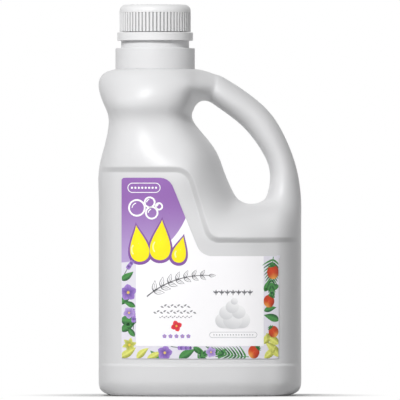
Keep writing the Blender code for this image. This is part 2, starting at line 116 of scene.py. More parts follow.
class Nodes:
    """A node tree and the one way to fill it."""

    def __init__(self, tree):
        self.tree = tree

    def link(self, socket, value):
        if isinstance(value, Signal):
            self.tree.links.new(value.socket, socket)
        elif isinstance(value, tuple) and len(value) == 3 and socket.type == "RGBA":
            socket.default_value = (*value, 1)
        else:
            socket.default_value = value

    def node(self, kind, settings=None, values=None, output=0):
        """Adds a node, sets its settings, fills its inputs and returns one output."""
        made = self.tree.nodes.new(kind)
        for name, setting in (settings or {}).items():
            setattr(made, name, setting)
        pairs = values.items() if isinstance(values, dict) else enumerate(values or [])
        for key, value in pairs:
            self.link(made.inputs[key], value)
        return Signal(self, made.outputs[output])

    def beside(self, signal, *names):
        """Other outputs of the node that a signal comes from."""
        return [Signal(self, signal.socket.node.outputs[name]) for name in names]


class Net(Nodes):
    """The node tree of one material, with its Principled shader."""

    def __init__(self, name):
        self.material = bpy.data.materials.new(name)
        self.material.use_nodes = True
        super().__init__(self.material.node_tree)
        self.shader = self.tree.nodes["Principled BSDF"]

    def blend(self, factor, first, second):
        """One colour turning into another."""
        values = {0: factor, 6: first, 7: second}
        return self.node("ShaderNodeMix", {"data_type": "RGBA"}, values, 2)

    def step(self, value, start, end):
        """Rises smoothly from 0 to 1 as the value goes from start to end."""
        settings = {"interpolation_type": "SMOOTHSTEP"}
        return self.node("ShaderNodeMapRange", settings, [value, start, end, 0.0, 1.0])

    def place(self):
        """The point on the piece, in metres, as three signals."""
        where = self.node("ShaderNodeTexCoord", output="Object")
        return where, self.beside(self.node("ShaderNodeSeparateXYZ", None, [where]), "X", "Y", "Z")

    def noise(self, where, scale, detail=2.0):
        values = {"Vector": where, "Scale": scale, "Detail": detail}
        return self.node("ShaderNodeTexNoise", None, values)

    def bump(self, height, distance):
        return self.node("ShaderNodeBump", None, {"Distance": distance, "Height": height})

    def finish(self, **sockets):
        """Fills the shader's own sockets and returns the material."""
        for name, value in sockets.items():
            self.link(self.shader.inputs[name.replace("_", " ")], value)
        return self.material


def linear(red, green, blue):
    """A screen colour, 0 to 255, as the linear colour that shaders and meshes hold."""
    made = []
    for value in (red, green, blue):
        share = value / 255
        made.append(share / 12.92 if share <= 0.04045 else ((share + 0.055) / 1.055) ** 2.4)
    return tuple(made)


print("shader helpers ready")

# %% [markdown]
# Blow-moulded polyethylene is white, satin and slightly uneven: the melt leaves faint waves, and
# the blasted steel of the mould leaves a very fine grain. The two mould halves meet at the plane
# y = 0 and leave a thin raised line there, which also crosses the base. All three are too fine to
# model, so they are bump from noise on Object coordinates, which needs no unwrapping. Narrow
# grooves and the panel's ramp lie in shade and look greyer, so the material paints that shade in.

# %% Moulded plastics
NECK_X = -31 * MM
SEAM_FLANK = (0.1 * MM, 0.5 * MM)
GROOVE_FLANK = (23.7 * MM, 24.5 * MM)
GROOVE_FOOT = (251.0 * MM, 251.4 * MM)
GROOVE_TOP = (264.4 * MM, 264.7 * MM)
# Painted shade: the greys that the cap's grooves and the panel's ramp take in their colour.
PAINTED_GROOVE_GREY = (0.4, 0.4, 0.405)
PAINTED_RAMP_GREY = (0.55, 0.55, 0.556)


def satin_plastic(name, tint, roughness, seam):
    """White moulded plastic: a seam and painted shade along the panel's ramp on the bottle, painted shade in
    the grooves on the cap.
    """
    net = Net(name)
    where, (x, y, z) = net.place()
    waves = net.noise(where, 22.0)
    grain = net.noise(where, 2600.0, 1.0)
    height = waves * 0.35 + grain * 0.012
    if seam:
        ridge = 1 - net.step(abs(y), *SEAM_FLANK)
        height = height + ridge * 0.2
    shade = net.blend(waves, tuple(value * 0.985 for value in tint), tint)
    if seam:
        # Painted shade along the panel's ramp, read from the point attribute set where the panel is pressed
        # in.
        painted_ramp_shade = net.node("ShaderNodeAttribute", {"attribute_name": "painted_ramp_shade"}, output=2)
        shade = net.blend(painted_ramp_shade, shade, PAINTED_RAMP_GREY)
    else:
        # Painted shade: the floors and flanks of the grooves between the cap's ribs are greyed where shade
        # falls.
        from_axis = ((x - NECK_X) * (x - NECK_X) + y * y) ** 0.5
        deep = 1 - net.step(from_axis, *GROOVE_FLANK)
        along = net.step(z, *GROOVE_FOOT) * (1 - net.step(z, *GROOVE_TOP))
        shade = net.blend(deep * along, shade, PAINTED_GROOVE_GREY)
    return net.finish(
        Base_Color=shade,
        Roughness=roughness + 0.06 * net.noise(where, 300.0),
        Specular_IOR_Level=0.3,
        Normal=net.bump(height, 1.0 * MM),
    )


BOTTLE_WHITE = (0.69, 0.69, 0.698)
CAP_WHITE = (0.76, 0.76, 0.765)
bottle_finish = satin_plastic("satin_polyethylene", BOTTLE_WHITE, 0.36, True)
cap_finish = satin_plastic("smooth_polypropylene", CAP_WHITE, 0.3, False)
print("plastics:", bottle_finish.name, cap_finish.name)

# %% [markdown]
# The body is blown in one piece, so trunk and handle flow into each other without a seam. A box
# and a bent tube could be joined by a Boolean, but their joint would stay sharp. A single skin of
# quads has none: a coarse cage is laid out row by row from the base to the collar, with a gap of
# faces for the finger hole. Each kind of row has a small function of its own.

# %% Sections of the body
HALF_WIDTH = 70 * MM
HALF_DEPTH = 51 * MM
COLLAR_RADIUS = 27.45 * MM
SHOULDER = 225.5 * MM
BASE_RADIUS = 8.8 * MM
SQUARENESS = 2.6
WAIST_DEPTH = 79.5 * MM
WAIST_HEIGHT = 189 * MM
HEAD_DEPTH = 84 * MM
HEAD_HEIGHT = 212 * MM
HANDLE_DEPTH = 29 * MM
BLOCK_SHARES = (-1, -0.9, -0.6, -0.23, 0.09, 0.32, 0.5, 0.67, 0.87, 1)
TRUNK_SHARES = (-1, -0.84, -0.4, 0.14, 0.68, 1)
COLLAR_DEGREES = (180, 148, 118, 92, 68, 50, 38, 27, 14, 0)


def crown(share, squareness):
    return (1 - abs(share) ** squareness) ** (1 / squareness)


def block_row(height, inset=0.0):
    """Half a ring round the wide lower body."""
    wide, deep = HALF_WIDTH - inset, HALF_DEPTH - inset
    return [Vector((s * wide, -crown(s, SQUARENESS) * deep, height)) for s in BLOCK_SHARES]


def trunk_row(height, left, right, depth, squareness):
    """Half a ring round the trunk beside the finger hole."""
    middle, half = (left + right) / 2, (right - left) / 2
    return [
        Vector((middle + s * half, -crown(s, squareness) * depth / 2, height)) for s in TRUNK_SHARES
    ]


def panel_row(height, right):
    """The trunk at the label's height, with the front of the wide body."""
    turning = -25 * MM
    row = block_row(height)[:4]
    for share in (0.66, 1):
        row.append(Vector((turning + share * (right - turning), -crown(share, 2.2) * HALF_DEPTH, height)))
    return row


def handle_row(inner, outer, depth):
    """Half a ring round the handle, from the hole's edge to the outer edge."""
    near = Vector((inner[0], 0, inner[1])) * MM
    far = Vector((outer[0], 0, outer[1])) * MM
    front = (near + far) / 2
    front.y = -depth / 2
    return [near, front, far]


def round_neck(radius, angle, height):
    """A place on a circle round the neck's axis."""
    return Vector((NECK_X + radius * math.cos(angle), radius * math.sin(angle), height))


def collar_row(radius):
    """Half a ring where the collar stands on the shoulder."""
    return [round_neck(radius, -math.radians(degrees), SHOULDER) for degrees in COLLAR_DEGREES]


def points(*places):
    return [Vector(place) * MM for place in places]


print(len(block_row(0)), "points in a row of the lower body")

# %% Rows of the body
def body_rows():
    """Every row of the front half, from the base up."""
    head, high = HEAD_DEPTH / 2 / MM, HEAD_HEIGHT / MM
    corner = BASE_RADIUS * (1 - math.sqrt(0.5))
    under = -0.3 * MM
    ledge = block_row(121 * MM)[:4]
    ledge += points((7.5, -47.5, 122), (22, -38.5, 124), (35, -33, 125.5))
    ledge += points((47, -32, 125.5), (60, -28, 124.5), (70, 0, 123))
    return [
        block_row(under, BASE_RADIUS * 3),
        block_row(under, BASE_RADIUS),
        block_row(corner, corner),
        block_row(BASE_RADIUS),
        block_row(30 * MM),
        block_row(94 * MM),
        block_row(110 * MM),
        ledge,
        panel_row(137 * MM, 25 * MM) + points((34.9, 0, 132.4))
        + handle_row((45.2, 136.2), (69.8, 137), 38 * MM),
        panel_row(155 * MM, 16.6 * MM) + handle_row((48.2, 154.8), (66.3, 158.6), HANDLE_DEPTH),
        trunk_row(172 * MM, -66.2 * MM, 9 * MM, 87.5 * MM, 2.4)
        + handle_row((41, 171.6), (57, 182), HANDLE_DEPTH),
        trunk_row(WAIST_HEIGHT, -63.1 * MM, -4.3 * MM, WAIST_DEPTH, 2.3)
        + handle_row((27.6, 187.6), (42.4, 201.4), HANDLE_DEPTH),
        trunk_row(200 * MM, -65.9 * MM, -3.2 * MM, 87.5 * MM, 2.3) + points((3, 0, 203.6))
        + handle_row((9.5, 201.2), (19.3, 218), HANDLE_DEPTH + 3 * MM),
        points(
            (-69.9, 0, high), (-61.5, -0.58 * head, high), (-48, -0.9 * head, high),
            (-31, -head, high), (-15, -0.9 * head, high), (-6.5, -0.73 * head, high),
            (-0.5, -24.5, high), (5.5, -19, high + 1), (10, -13, high + 4.5), (10.5, 0, 221.9),
        ),
        points(
            (-67.3, 0, 221.8), (-60, -19, 221.8), (-47, -31, 221.8), (-32, -34.6, 221.8),
            (-17, -31.6, 221.6), (-8.5, -26, 221), (-4.5, -21.5, 220.6), (-1, -16.5, 220.9),
            (1.8, -10, 222.4), (3, 0, 224.4),
        ),
        collar_row(COLLAR_RADIUS),
        collar_row(COLLAR_RADIUS * 0.6),
    ]


print(len(body_rows()), "rows in the cage")

# %% [markdown]
# The cage is mirrored to the back and rounded by Subdivision Surface. Rounding pulls the skin
# inside its cage. The cage could be drawn too large by eye, but it is more exact to push it out
# by what is missing, a little each round, until the skin passes through the points drawn above.

# %% Cage, fitting and rounding
HOLE_ROWS = range(9, 12)
HOLE_COLUMN = 6
FIT_ROUNDS = 40
FINE_LEVELS = 3


def plain_mesh(made):
    """The object's mesh as its modifiers leave it."""
    bpy.context.view_layer.update()
    graph = bpy.context.evaluated_depsgraph_get()
    return bpy.data.meshes.new_from_object(made.evaluated_get(graph))


def paint(mesh, finish):
    mesh.materials.clear()
    mesh.materials.append(finish)


def new_piece(name, mesh, finish=None):
    """A piece at the origin that holds the mesh."""
    made = bpy.data.objects.new(name, mesh)
    bpy.context.scene.collection.objects.link(made)
    if finish:
        paint(mesh, finish)
    return made


def settled(source, name, finish=None):
    """What the source's modifiers make of it, as a plain piece; the source is used up."""
    made = new_piece(name, plain_mesh(source), finish)
    bpy.data.objects.remove(source)
    return made


def mesh_from(bm, name):
    mesh = bpy.data.meshes.new(name)
    bm.to_mesh(mesh)
    bm.free()
    return mesh


def crisp_mesh(bm, name, degrees):
    """A closed mesh facing outwards, smooth except at edges that turn by more than the degrees."""
    bmesh.ops.recalc_face_normals(bm, faces=bm.faces)
    mesh = mesh_from(bm, name)
    mesh.shade_smooth()
    mesh.set_sharp_from_angle(angle=math.radians(degrees))
    return mesh


def rounded_body():
    """The whole rounded skin, without panels, hollow or neck."""
    bm = bmesh.new()
    rows = [[bm.verts.new(place) for place in row] for row in body_rows()]
    bm.faces.new(reversed(rows[0]))
    bm.faces.new(rows[-1])
    for index in HOLE_ROWS:
        rows[index].insert(HOLE_COLUMN, None)
    for low, high in zip(rows, rows[1:]):
        for corners in zip(low, low[1:], high[1:], high):
            if None not in corners:
                bm.faces.new(corners)
    cage = new_piece("cage", mesh_from(bm, "cage"))
    mirror = cage.modifiers.new("both halves", "MIRROR")
    mirror.use_axis = (False, True, False)
    mirror.use_clip = True
    mirror.merge_threshold = 0.01 * MM
    rounding = cage.modifiers.new("rounded", "SUBSURF")
    rounding.levels = rounding.render_levels = 2
    wanted = [corner.co.copy() for corner in cage.data.vertices]
    for _ in range(FIT_ROUNDS):
        rounded = plain_mesh(cage)
        for corner, place in zip(cage.data.vertices, wanted):
            corner.co += place - rounded.vertices[corner.index].co
        bpy.data.meshes.remove(rounded)
    rounding.levels = rounding.render_levels = FINE_LEVELS
    made = plain_mesh(cage)
    bpy.data.objects.remove(cage)
    return made


body_mesh = rounded_body()
print(len(body_mesh.polygons), "faces on the rounded body")

# %% [markdown]
# The label lies in a panel that the mould presses over 2 mm into the front and the back. Its edge
# is a soft ramp along the top and down the S-shaped side, and a narrow step along the foot. A
# Boolean would cut a hard edge, so the skin itself is moved, by how far each point lies inside
# the panel's outline. That distance is worked out here for all points at once.

# %% Distance from an outline
CORNER_STEPS = 10


def rounded_outline(corners):
    """An outline in the front view, in metres, each corner (x, z, radius) in mm rounded."""
    outline = []
    places = [Vector((x, z)) for x, z, _ in corners]
    for index, (_, _, radius) in enumerate(corners):
        here = places[index]
        if not radius:
            outline.append(here)
            continue
        before = (places[index - 1] - here).normalized()
        after = (places[(index + 1) % len(places)] - here).normalized()
        half = before.angle(after) / 2
        middle = here + (before + after).normalized() * radius / math.sin(half)
        first = here + before * radius / math.tan(half) - middle
        sweep = first.angle_signed(here + after * radius / math.tan(half) - middle)
        for step in range(CORNER_STEPS + 1):
            outline.append(middle + Matrix.Rotation(-sweep * step / CORNER_STEPS, 2) @ first)
    return np.array(outline) * MM


def signed_distance(places, outline):
    """How far each (x, z) lies outside the outline; negative inside."""
    start = outline
    run = np.roll(outline, -1, axis=0) - start
    to_place = places[:, None, :] - start[None, :, :]
    share = np.clip((to_place * run).sum(2) / (run * run).sum(1), 0, 1)
    nearest = np.linalg.norm(to_place - share[..., None] * run, axis=2).min(1)
    low, high = start[:, 1], np.roll(start[:, 1], -1)
    spans = (low[None, :] > places[:, 1:]) != (high[None, :] > places[:, 1:])
    with np.errstate(divide="ignore", invalid="ignore"):
        crossing = start[:, 0] + (places[:, 1:] - low) / (high - low) * run[:, 0]
    inside = ((places[:, :1] < crossing) & spans).sum(1) % 2 == 1
    return np.where(inside, -nearest, nearest)


PANEL = rounded_outline((
    (-90, 21.5, 0), (90, 21.5, 0), (90, 107.6, 0), (6.6, 107.6, 9.2), (-8.5, 156, 11), (-90, 156, 0),
))
LABEL = rounded_outline((
    (-54.0, 25.9, 0.8), (54.2, 25.9, 0.8), (54.2, 96.4, 0.8), (0.8, 96.4, 11.2),
    (-21.1, 150.3, 9.8), (-54.0, 150.3, 0.8),
))
print(len(PANEL), "points round the panel,", len(LABEL), "round the label")

# %% [markdown]
# The mesh is first split along lines of equal distance from the outline, so that the ramp has its
# own clean rows of points, and then the points inside are moved towards the middle. Each point also
# notes how far it lies in the ramp, for a painted shade in the plastic's colour, which fades towards
# the sides, as the ramp itself does, and is left out at the foot, where the step catches the light.

# %% Splitting and pressing in the panel
PANEL_RECESS = 2.1 * MM
SOFT_RAMP = 4.2 * MM
FOOT_RAMP = 1.7 * MM
FOOT_LIMIT = 60 * MM


def split_at(bm, measure, level):
    """Splits faces where a measure of the front view passes the level."""
    spots = np.array([(v.co.x, v.co.z) for v in bm.verts])
    values = measure(spots) - level
    height = {}
    for corner, value in zip(bm.verts, values):
        height[corner] = 0.0 if abs(value) < 0.02 else value
    for edge in list(bm.edges):
        a, b = edge.verts
        if height[a] * height[b] < 0:
            _, made = bmesh.utils.edge_split(edge, a, height[a] / (height[a] - height[b]))
            height[made] = 0.0
    for face in list(bm.faces):
        on_line = [corner for corner in face.verts if height[corner] == 0.0]
        signs = {height[corner] > 0 for corner in face.verts if height[corner] != 0.0}
        if len(on_line) == 2 and len(signs) == 2:
            bmesh.utils.face_split(face, *on_line)


def ramp_place(spots):
    """Where points lie on the ramp: 0 at its outer edge, 1 at its foot on the panel."""
    width = np.where(spots[:, 1] < FOOT_LIMIT, FOOT_RAMP, SOFT_RAMP)
    return 0.5 - signed_distance(spots, PANEL) / width


def press_panels(mesh):
    """Gives the body its front and back panels."""
    bm = bmesh.new()
    bm.from_mesh(mesh)
    for level in (-0.12, 0.0, 0.25, 0.5, 0.75, 0.92, 1.0, 1.1):
        split_at(bm, ramp_place, level)
    places = ramp_place(np.array([(v.co.x, v.co.z) for v in bm.verts]))
    # Each point's share of the painted shade along the ramp: full inside the ramp, fading towards the sides,
    # none at the foot.
    painted_ramp_shade = bm.verts.layers.float.new("painted_ramp_shade")
    for corner, place in zip(bm.verts, places):
        towards_front = (abs(corner.co.y) - 14 * MM) / (20 * MM) if corner.co.z > FOOT_LIMIT else 0
        corner.co.y *= 1 - min(1, max(0, place)) * PANEL_RECESS / HALF_DEPTH
        corner[painted_ramp_shade] = min(1, max(0, 4 * min(place, 1 - place))) * min(1, max(0, towards_front))
    bm.to_mesh(mesh)
    bm.free()


press_panels(body_mesh)
print(len(body_mesh.polygons), "faces with the panels")

# %% [markdown]
# The base is flat at its rim and pushed up in the middle, so the bottle stands on a ring and
# doesn't rock. The top is opened where the neck goes on. The wall could be a second skin drawn by
# hand, but Solidify keeps it even, so that the view down the neck finds a real inside. Where the
# rim of the base folds, a few of the wall's points land below the floor, and they are lifted.

# %% Base, mouth and wall
PUSH_UP_RISE = 4.5 * MM
PUSH_UP_MARGIN = 13 * MM
PUSH_UP_SLOPE = 20 * MM
WALL = 1.2 * MM


def shape_ends(mesh):
    """Flattens the base, presses it up in the middle and opens the top under the collar."""
    bm = bmesh.new()
    bm.from_mesh(mesh)
    for corner in bm.verts:
        place = corner.co
        if place.z < 0.6 * MM:
            wide = abs(place.x) / (HALF_WIDTH - PUSH_UP_MARGIN)
            deep = abs(place.y) / (HALF_DEPTH - PUSH_UP_MARGIN)
            reach = (wide ** SQUARENESS + deep ** SQUARENESS) ** (1 / SQUARENESS)
            share = min(1, max(0, (1 - reach) * (HALF_DEPTH - PUSH_UP_MARGIN) / PUSH_UP_SLOPE))
            place.z = max(place.z, 0) + PUSH_UP_RISE * math.sin(share * math.pi / 2)
    covered = []
    for face in bm.faces:
        middle = face.calc_center_median()
        from_axis = math.hypot(middle.x - NECK_X, middle.y)
        if middle.z > SHOULDER - 6 * MM and from_axis < COLLAR_RADIUS - 0.4 * MM:
            covered.append(face)
    bmesh.ops.delete(bm, geom=covered, context="FACES")
    bmesh.ops.recalc_face_normals(bm, faces=bm.faces)
    bm.to_mesh(mesh)
    bm.free()
    mesh.shade_smooth()


def thicken(piece, thickness):
    """Gives a surface an even wall behind its face."""
    wall = piece.modifiers.new("wall", "SOLIDIFY")
    wall.thickness = thickness
    wall.offset = -1


shape_ends(body_mesh)
panel_surface = new_piece("panel_surface", body_mesh)
bpy.context.view_layer.update()
outer_skin = BVHTree.FromObject(panel_surface, bpy.context.evaluated_depsgraph_get())
thicken(panel_surface, WALL)
bottle_shell = settled(panel_surface, "bottle_shell", bottle_finish)
for corner in bottle_shell.data.vertices:
    if corner.co.z < 0:
        corner.co.z = WALL
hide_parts("bottle")
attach(bottle_shell, "bottle")
print(len(bottle_shell.data.polygons), "faces on the bottle's shell")

# %% [markdown]
# Neck, band and cap are turned forms. A profile of (radius, height) points runs down the outside
# and up the inside, and is swept round the neck's axis in short steps. The Screw modifier could
# do it too, but it leaves doubles on the axis to clean up. Edges that turn sharply stay crisp,
# because they are marked sharp by their angle. A thread is the same idea with a profile that
# climbs as it goes round.

# %% Turned pieces
TURN_STEPS = 128
THREAD_STEPS = 48
THREAD_PITCH = 6
THREAD_DEPTH = 1.2
THREAD_RISES = (-0.95, -0.45, 0.45, 0.95)


def arc(radius, height, rounding, start, end, count=6):
    """Points of a profile along a rounding."""
    made = []
    for step in range(count + 1):
        angle = math.radians(start + (end - start) * step / count)
        made.append((radius + rounding * math.cos(angle), height + rounding * math.sin(angle)))
    return made


def turned_mesh(name, profile, steps=TURN_STEPS):
    """A closed ring or cap swept round the neck's axis; the profile is in millimetres."""
    bm = bmesh.new()
    rings = []
    for radius, height in profile:
        if radius == 0:
            rings.append([bm.verts.new((NECK_X, 0, height * MM))])
            continue
        places = [round_neck(radius * MM, math.tau * step / steps, height * MM) for step in range(steps)]
        rings.append([bm.verts.new(place) for place in places])
    pairs = list(zip(rings, rings[1:]))
    if profile[0][0]:
        pairs.append((rings[-1], rings[0]))
    for upper, lower in pairs:
        for step in range(steps):
            after = (step + 1) % steps
            if len(upper) == 1:
                bm.faces.new((upper[0], lower[step], lower[after]))
            elif len(lower) == 1:
                bm.faces.new((upper[after], upper[step], lower[0]))
            else:
                bm.faces.new((upper[after], upper[step], lower[step], lower[after]))
    return crisp_mesh(bm, name, 35)


def thread_mesh(name, root, crest, start, turns):
    """A helical ridge that fades out at both ends; sizes in millimetres."""
    bm = bmesh.new()
    count = round(turns * THREAD_STEPS)
    fade = THREAD_STEPS / 6
    sunk = math.copysign(0.5, root - crest)
    rings = []
    for step in range(count + 1):
        angle = math.tau * step / THREAD_STEPS
        full = max(0.05, min(1, step / fade, (count - step) / fade))
        tip = root + (crest - root) * full
        ring = []
        for radius, rise in zip((root + sunk, tip, tip, root + sunk), THREAD_RISES):
            height = start + THREAD_PITCH * step / THREAD_STEPS + rise
            ring.append(bm.verts.new(round_neck(radius * MM, angle, height * MM)))
        rings.append(ring)
    for low, high in zip(rings, rings[1:]):
        for a, b, c, d in zip(low, low[1:] + low[:1], high[1:] + high[:1], high):
            bm.faces.new((a, b, c, d))
    bm.faces.new(reversed(rings[0]))
    bm.faces.new(rings[-1])
    return crisp_mesh(bm, name, 30)


def dress(piece, body):
    """Says which body a piece moves with and prints how many faces it has."""
    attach(piece, body)
    print(piece.name, len(piece.data.polygons), "faces")


print("a turned ring has", TURN_STEPS, "steps, a turn of thread", THREAD_STEPS)

# %% [markdown]
# The collar carries the neck, and the bead on the neck holds the tamper band: its inner lip has
# snapped in under the bead, so the band stays behind when the cap comes off. All sizes here are
# in millimetres, as on a drawing of such a closure.

# %% Neck and band
RIM, NECK_BORE, FINISH_RADIUS = 266.4, 19.4, 21.3
BEAD_RADIUS, BEAD_FOOT = 24.4, 246.5
COLLAR, COLLAR_TOP, COLLAR_FOOT = COLLAR_RADIUS / MM, 240, 221.0
BAND_RADIUS, BAND_FOOT, BAND_TOP = 26.2, 245.1, 250.85
BAND_BORE, LIP_BORE, LIP_TOP = 25.0, 23.86, 246.2

neck_profile = [(FINISH_RADIUS - 0.4, RIM), (FINISH_RADIUS, RIM - 0.4), (FINISH_RADIUS, 249.7)]
neck_profile += [(BEAD_RADIUS, 248.1), (BEAD_RADIUS, BEAD_FOOT), (23.5, BEAD_FOOT)]
neck_profile += [(23.5, COLLAR_TOP + 0.3), (23.8, COLLAR_TOP)]
neck_profile += arc(COLLAR - 0.7, COLLAR_TOP - 0.7, 0.7, 90, 0)
neck_profile += [(COLLAR, COLLAR_FOOT), (COLLAR - 1.2, COLLAR_FOOT), (COLLAR - 1.2, 237.3)]
neck_profile += [(24.75, 238.8), (NECK_BORE, 241.8), (NECK_BORE, RIM - 0.3), (NECK_BORE + 0.3, RIM)]
neck = new_piece("bottle_neck", turned_mesh("neck", neck_profile), bottle_finish)
dress(neck, "bottle")
ridge = thread_mesh("neck_thread", FINISH_RADIUS, FINISH_RADIUS + THREAD_DEPTH, 254.2, 1.4)
neck_thread = new_piece("neck_thread", ridge, bottle_finish)
dress(neck_thread, "bottle")

band_profile = [(BAND_RADIUS - 0.3, BAND_TOP), (BAND_RADIUS, BAND_TOP - 0.3)]
band_profile += [(BAND_RADIUS, BAND_FOOT + 0.3), (BAND_RADIUS - 0.3, BAND_FOOT), (LIP_BORE, BAND_FOOT)]
band_profile += [(LIP_BORE, LIP_TOP), (BAND_BORE, LIP_TOP), (BAND_BORE, BAND_TOP)]
band = new_piece("band_ring", turned_mesh("band", band_profile), cap_finish)
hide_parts("tamper_band")
dress(band, "bottle")

# %% [markdown]
# The cap is a smooth shell with 60 upright ribs for the fingers. The shell is turned down to the
# floor of its grooves. The ribs could be cut as grooves by 60 Booleans, but it is quicker and
# cleaner to add them: one rib is a small rounded bar, Geometry Nodes place it round a circle,
# turned to face outwards, and the result becomes a plain mesh.

# %% Cap shell
RIB_COUNT = 60
RIB_FOOT, RIB_TOP = 251.4, 264.6
GROOVE_FLOOR = 23.75
CAP_RADIUS, CAP_BORE, CAP_EDGE = 24.6, 23.0, 4.2
CAP_TOP, CAP_CEILING, CAP_FOOT = 270, 268.2, 251.3

cap_profile = [(0, CAP_TOP), (14, CAP_TOP)]
cap_profile += arc(CAP_RADIUS - CAP_EDGE, CAP_TOP - CAP_EDGE, CAP_EDGE, 90, 0, 12)
cap_profile += [(CAP_RADIUS, RIB_TOP + 0.1), (CAP_RADIUS - 0.1, RIB_TOP), (GROOVE_FLOOR, RIB_TOP - 0.1)]
cap_profile += [(GROOVE_FLOOR, RIB_FOOT), (GROOVE_FLOOR, CAP_FOOT), (CAP_BORE, CAP_FOOT)]
cap_profile += [(CAP_BORE, CAP_CEILING), (0, CAP_CEILING)]
cap_shell = new_piece("cap_shell", turned_mesh("cap", cap_profile, 180), cap_finish)
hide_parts("screw_cap")
dress(cap_shell, "cap")
ridge = thread_mesh("cap_thread", CAP_BORE, CAP_BORE - THREAD_DEPTH, 257.2, 1.2)
cap_thread = new_piece("cap_thread", ridge, cap_finish)
dress(cap_thread, "cap")

# %% Cap ribs by Geometry Nodes
RIB_DEPTH, RIB_WIDTH, RIB_ROUNDING = 1.0, 1.62, 0.22


def rib_bar():
    """One rib, lying at the origin: X outwards, Y across, Z up."""
    bm = bmesh.new()
    bmesh.ops.create_cube(bm, size=1)
    size = [side * MM for side in (RIB_DEPTH, RIB_WIDTH, RIB_TOP - RIB_FOOT + 0.1)]
    bmesh.ops.scale(bm, verts=bm.verts, vec=size)
    upright = [e for e in bm.edges if abs(e.verts[0].co.z - e.verts[1].co.z) > MM]
    outer = [e for e in upright if e.verts[0].co.x > 0]
    bmesh.ops.bevel(bm, geom=outer, offset=RIB_ROUNDING * MM, segments=3, profile=0.5, affect="EDGES")
    bmesh.ops.translate(bm, verts=bm.verts, vec=(-RIB_DEPTH / 2 * MM, 0, 0))
    return crisp_mesh(bm, "rib_bar", 50)


def ring_of_copies(name):
    """A node tree that sets copies of an object round a circle."""
    net = Nodes(bpy.data.node_groups.new(name, "GeometryNodeTree"))
    sockets = net.tree.interface
    sockets.new_socket("Geometry", in_out="OUTPUT", socket_type="NodeSocketGeometry")
    inputs = {"Copy": "Object", "Count": "Int", "Radius": "Float", "Centre": "Vector", "Finish": "Material"}
    for label, kind in inputs.items():
        sockets.new_socket(label, in_out="INPUT", socket_type="NodeSocket" + kind)
    copy, count, radius, centre, finish = net.beside(net.node("NodeGroupInput"), *inputs)
    circle = net.node("GeometryNodeMeshCircle", None, {"Vertices": count, "Radius": radius})
    bar = net.node("GeometryNodeObjectInfo", None, {"Object": copy}, "Geometry")
    angle = net.node("GeometryNodeInputIndex") / count * math.tau
    turn = net.node("ShaderNodeCombineXYZ", None, {"Z": angle})
    spots = {"Points": circle, "Instance": bar, "Rotation": turn}
    copies = net.node("GeometryNodeInstanceOnPoints", None, spots)
    placed = net.node("GeometryNodeTransform", None, {"Geometry": copies, "Translation": centre})
    real = net.node("GeometryNodeRealizeInstances", None, [placed])
    painted = net.node("GeometryNodeSetMaterial", None, {"Geometry": real, "Material": finish})
    net.link(net.tree.nodes.new("NodeGroupOutput").inputs["Geometry"], painted)
    return net.tree


def made_by_nodes(name, tree, **values):
    """Runs a node tree with named inputs and returns its result as a plain piece."""
    carrier = new_piece("carrier", bpy.data.meshes.new("carrier"))
    steps = carrier.modifiers.new("nodes", "NODES")
    steps.node_group = tree
    for socket in tree.interface.items_tree:
        if socket.in_out == "INPUT" and socket.name in values:
            steps[socket.identifier] = values[socket.name]
    return settled(carrier, name)


rib = new_piece("rib", rib_bar())
cap_ribs = made_by_nodes(
    "cap_ribs",
    ring_of_copies("ring of copies"),
    Copy=rib,
    Count=RIB_COUNT,
    Radius=CAP_RADIUS * MM,
    Centre=(NECK_X, 0, (RIB_FOOT + RIB_TOP) / 2 * MM),
    Finish=cap_finish,
)
bpy.data.objects.remove(rib)
dress(cap_ribs, "cap")

# %% [markdown]
# The label is a thin glossy film that lies in the panel and curves as the panel does. Shrinkwrap
# could lay a flat sheet on it, but the panel's face is reached more simply by a ray from the
# front at each point of a fine grid, which is first trimmed to the label's outline.

# %% Label film
FILM_GAP = 0.3 * MM
FILM = 0.3 * MM
GRID_STEP = 2.0 * MM


def skin_depth(x, z):
    """The front skin's y at a place of the front view."""
    return outer_skin.ray_cast(Vector((x, -0.2, z)), Vector((0, 1, 0)))[0].y


def label_mesh():
    """The film's outer face, trimmed and laid before the panel."""
    bm = bmesh.new()
    low, high = LABEL.min(0), LABEL.max(0)
    across = math.ceil((high[0] - low[0]) / GRID_STEP) + 2
    up = math.ceil((high[1] - low[1]) / GRID_STEP) + 2
    rows = []
    for j in range(up + 1):
        z = low[1] + (j - 0.5) * GRID_STEP
        rows.append([bm.verts.new((low[0] + (i - 0.5) * GRID_STEP, 0, z)) for i in range(across + 1)])
    for below, above in zip(rows, rows[1:]):
        for a, b, c, d in zip(below, below[1:], above[1:], above):
            bm.faces.new((a, b, c, d))

    def measure(spots):
        return signed_distance(spots, LABEL) / MM

    split_at(bm, measure, 0)
    bm.verts.index_update()
    outside = []
    for face in bm.faces:
        middle = face.calc_center_median()
        if signed_distance(np.array([(middle.x, middle.z)]), LABEL)[0] > 0:
            outside.append(face)
    bmesh.ops.delete(bm, geom=outside, context="FACES")
    for corner in bm.verts:
        corner.co.y = skin_depth(corner.co.x, corner.co.z) - FILM_GAP - FILM
    if bm.faces[:][0].normal.y > 0:
        bmesh.ops.reverse_faces(bm, faces=bm.faces)
    mesh = mesh_from(bm, "label_film")
    mesh.shade_smooth()
    return mesh


film = new_piece("film_sheet", label_mesh())
thicken(film, FILM)
label_film = settled(film, "label_film")
label_film.data.set_sharp_from_angle(angle=math.radians(40))
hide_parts("front_label")
dress(label_film, "bottle")

# %% [markdown]
# The print has a purple field at the top left that fades downwards and ends in a round edge, a
# white card, and a pale lilac border. These plain areas are drawn by the material from the
# distance to their edges, so they stay sharp from near by, where a painted image would blur.

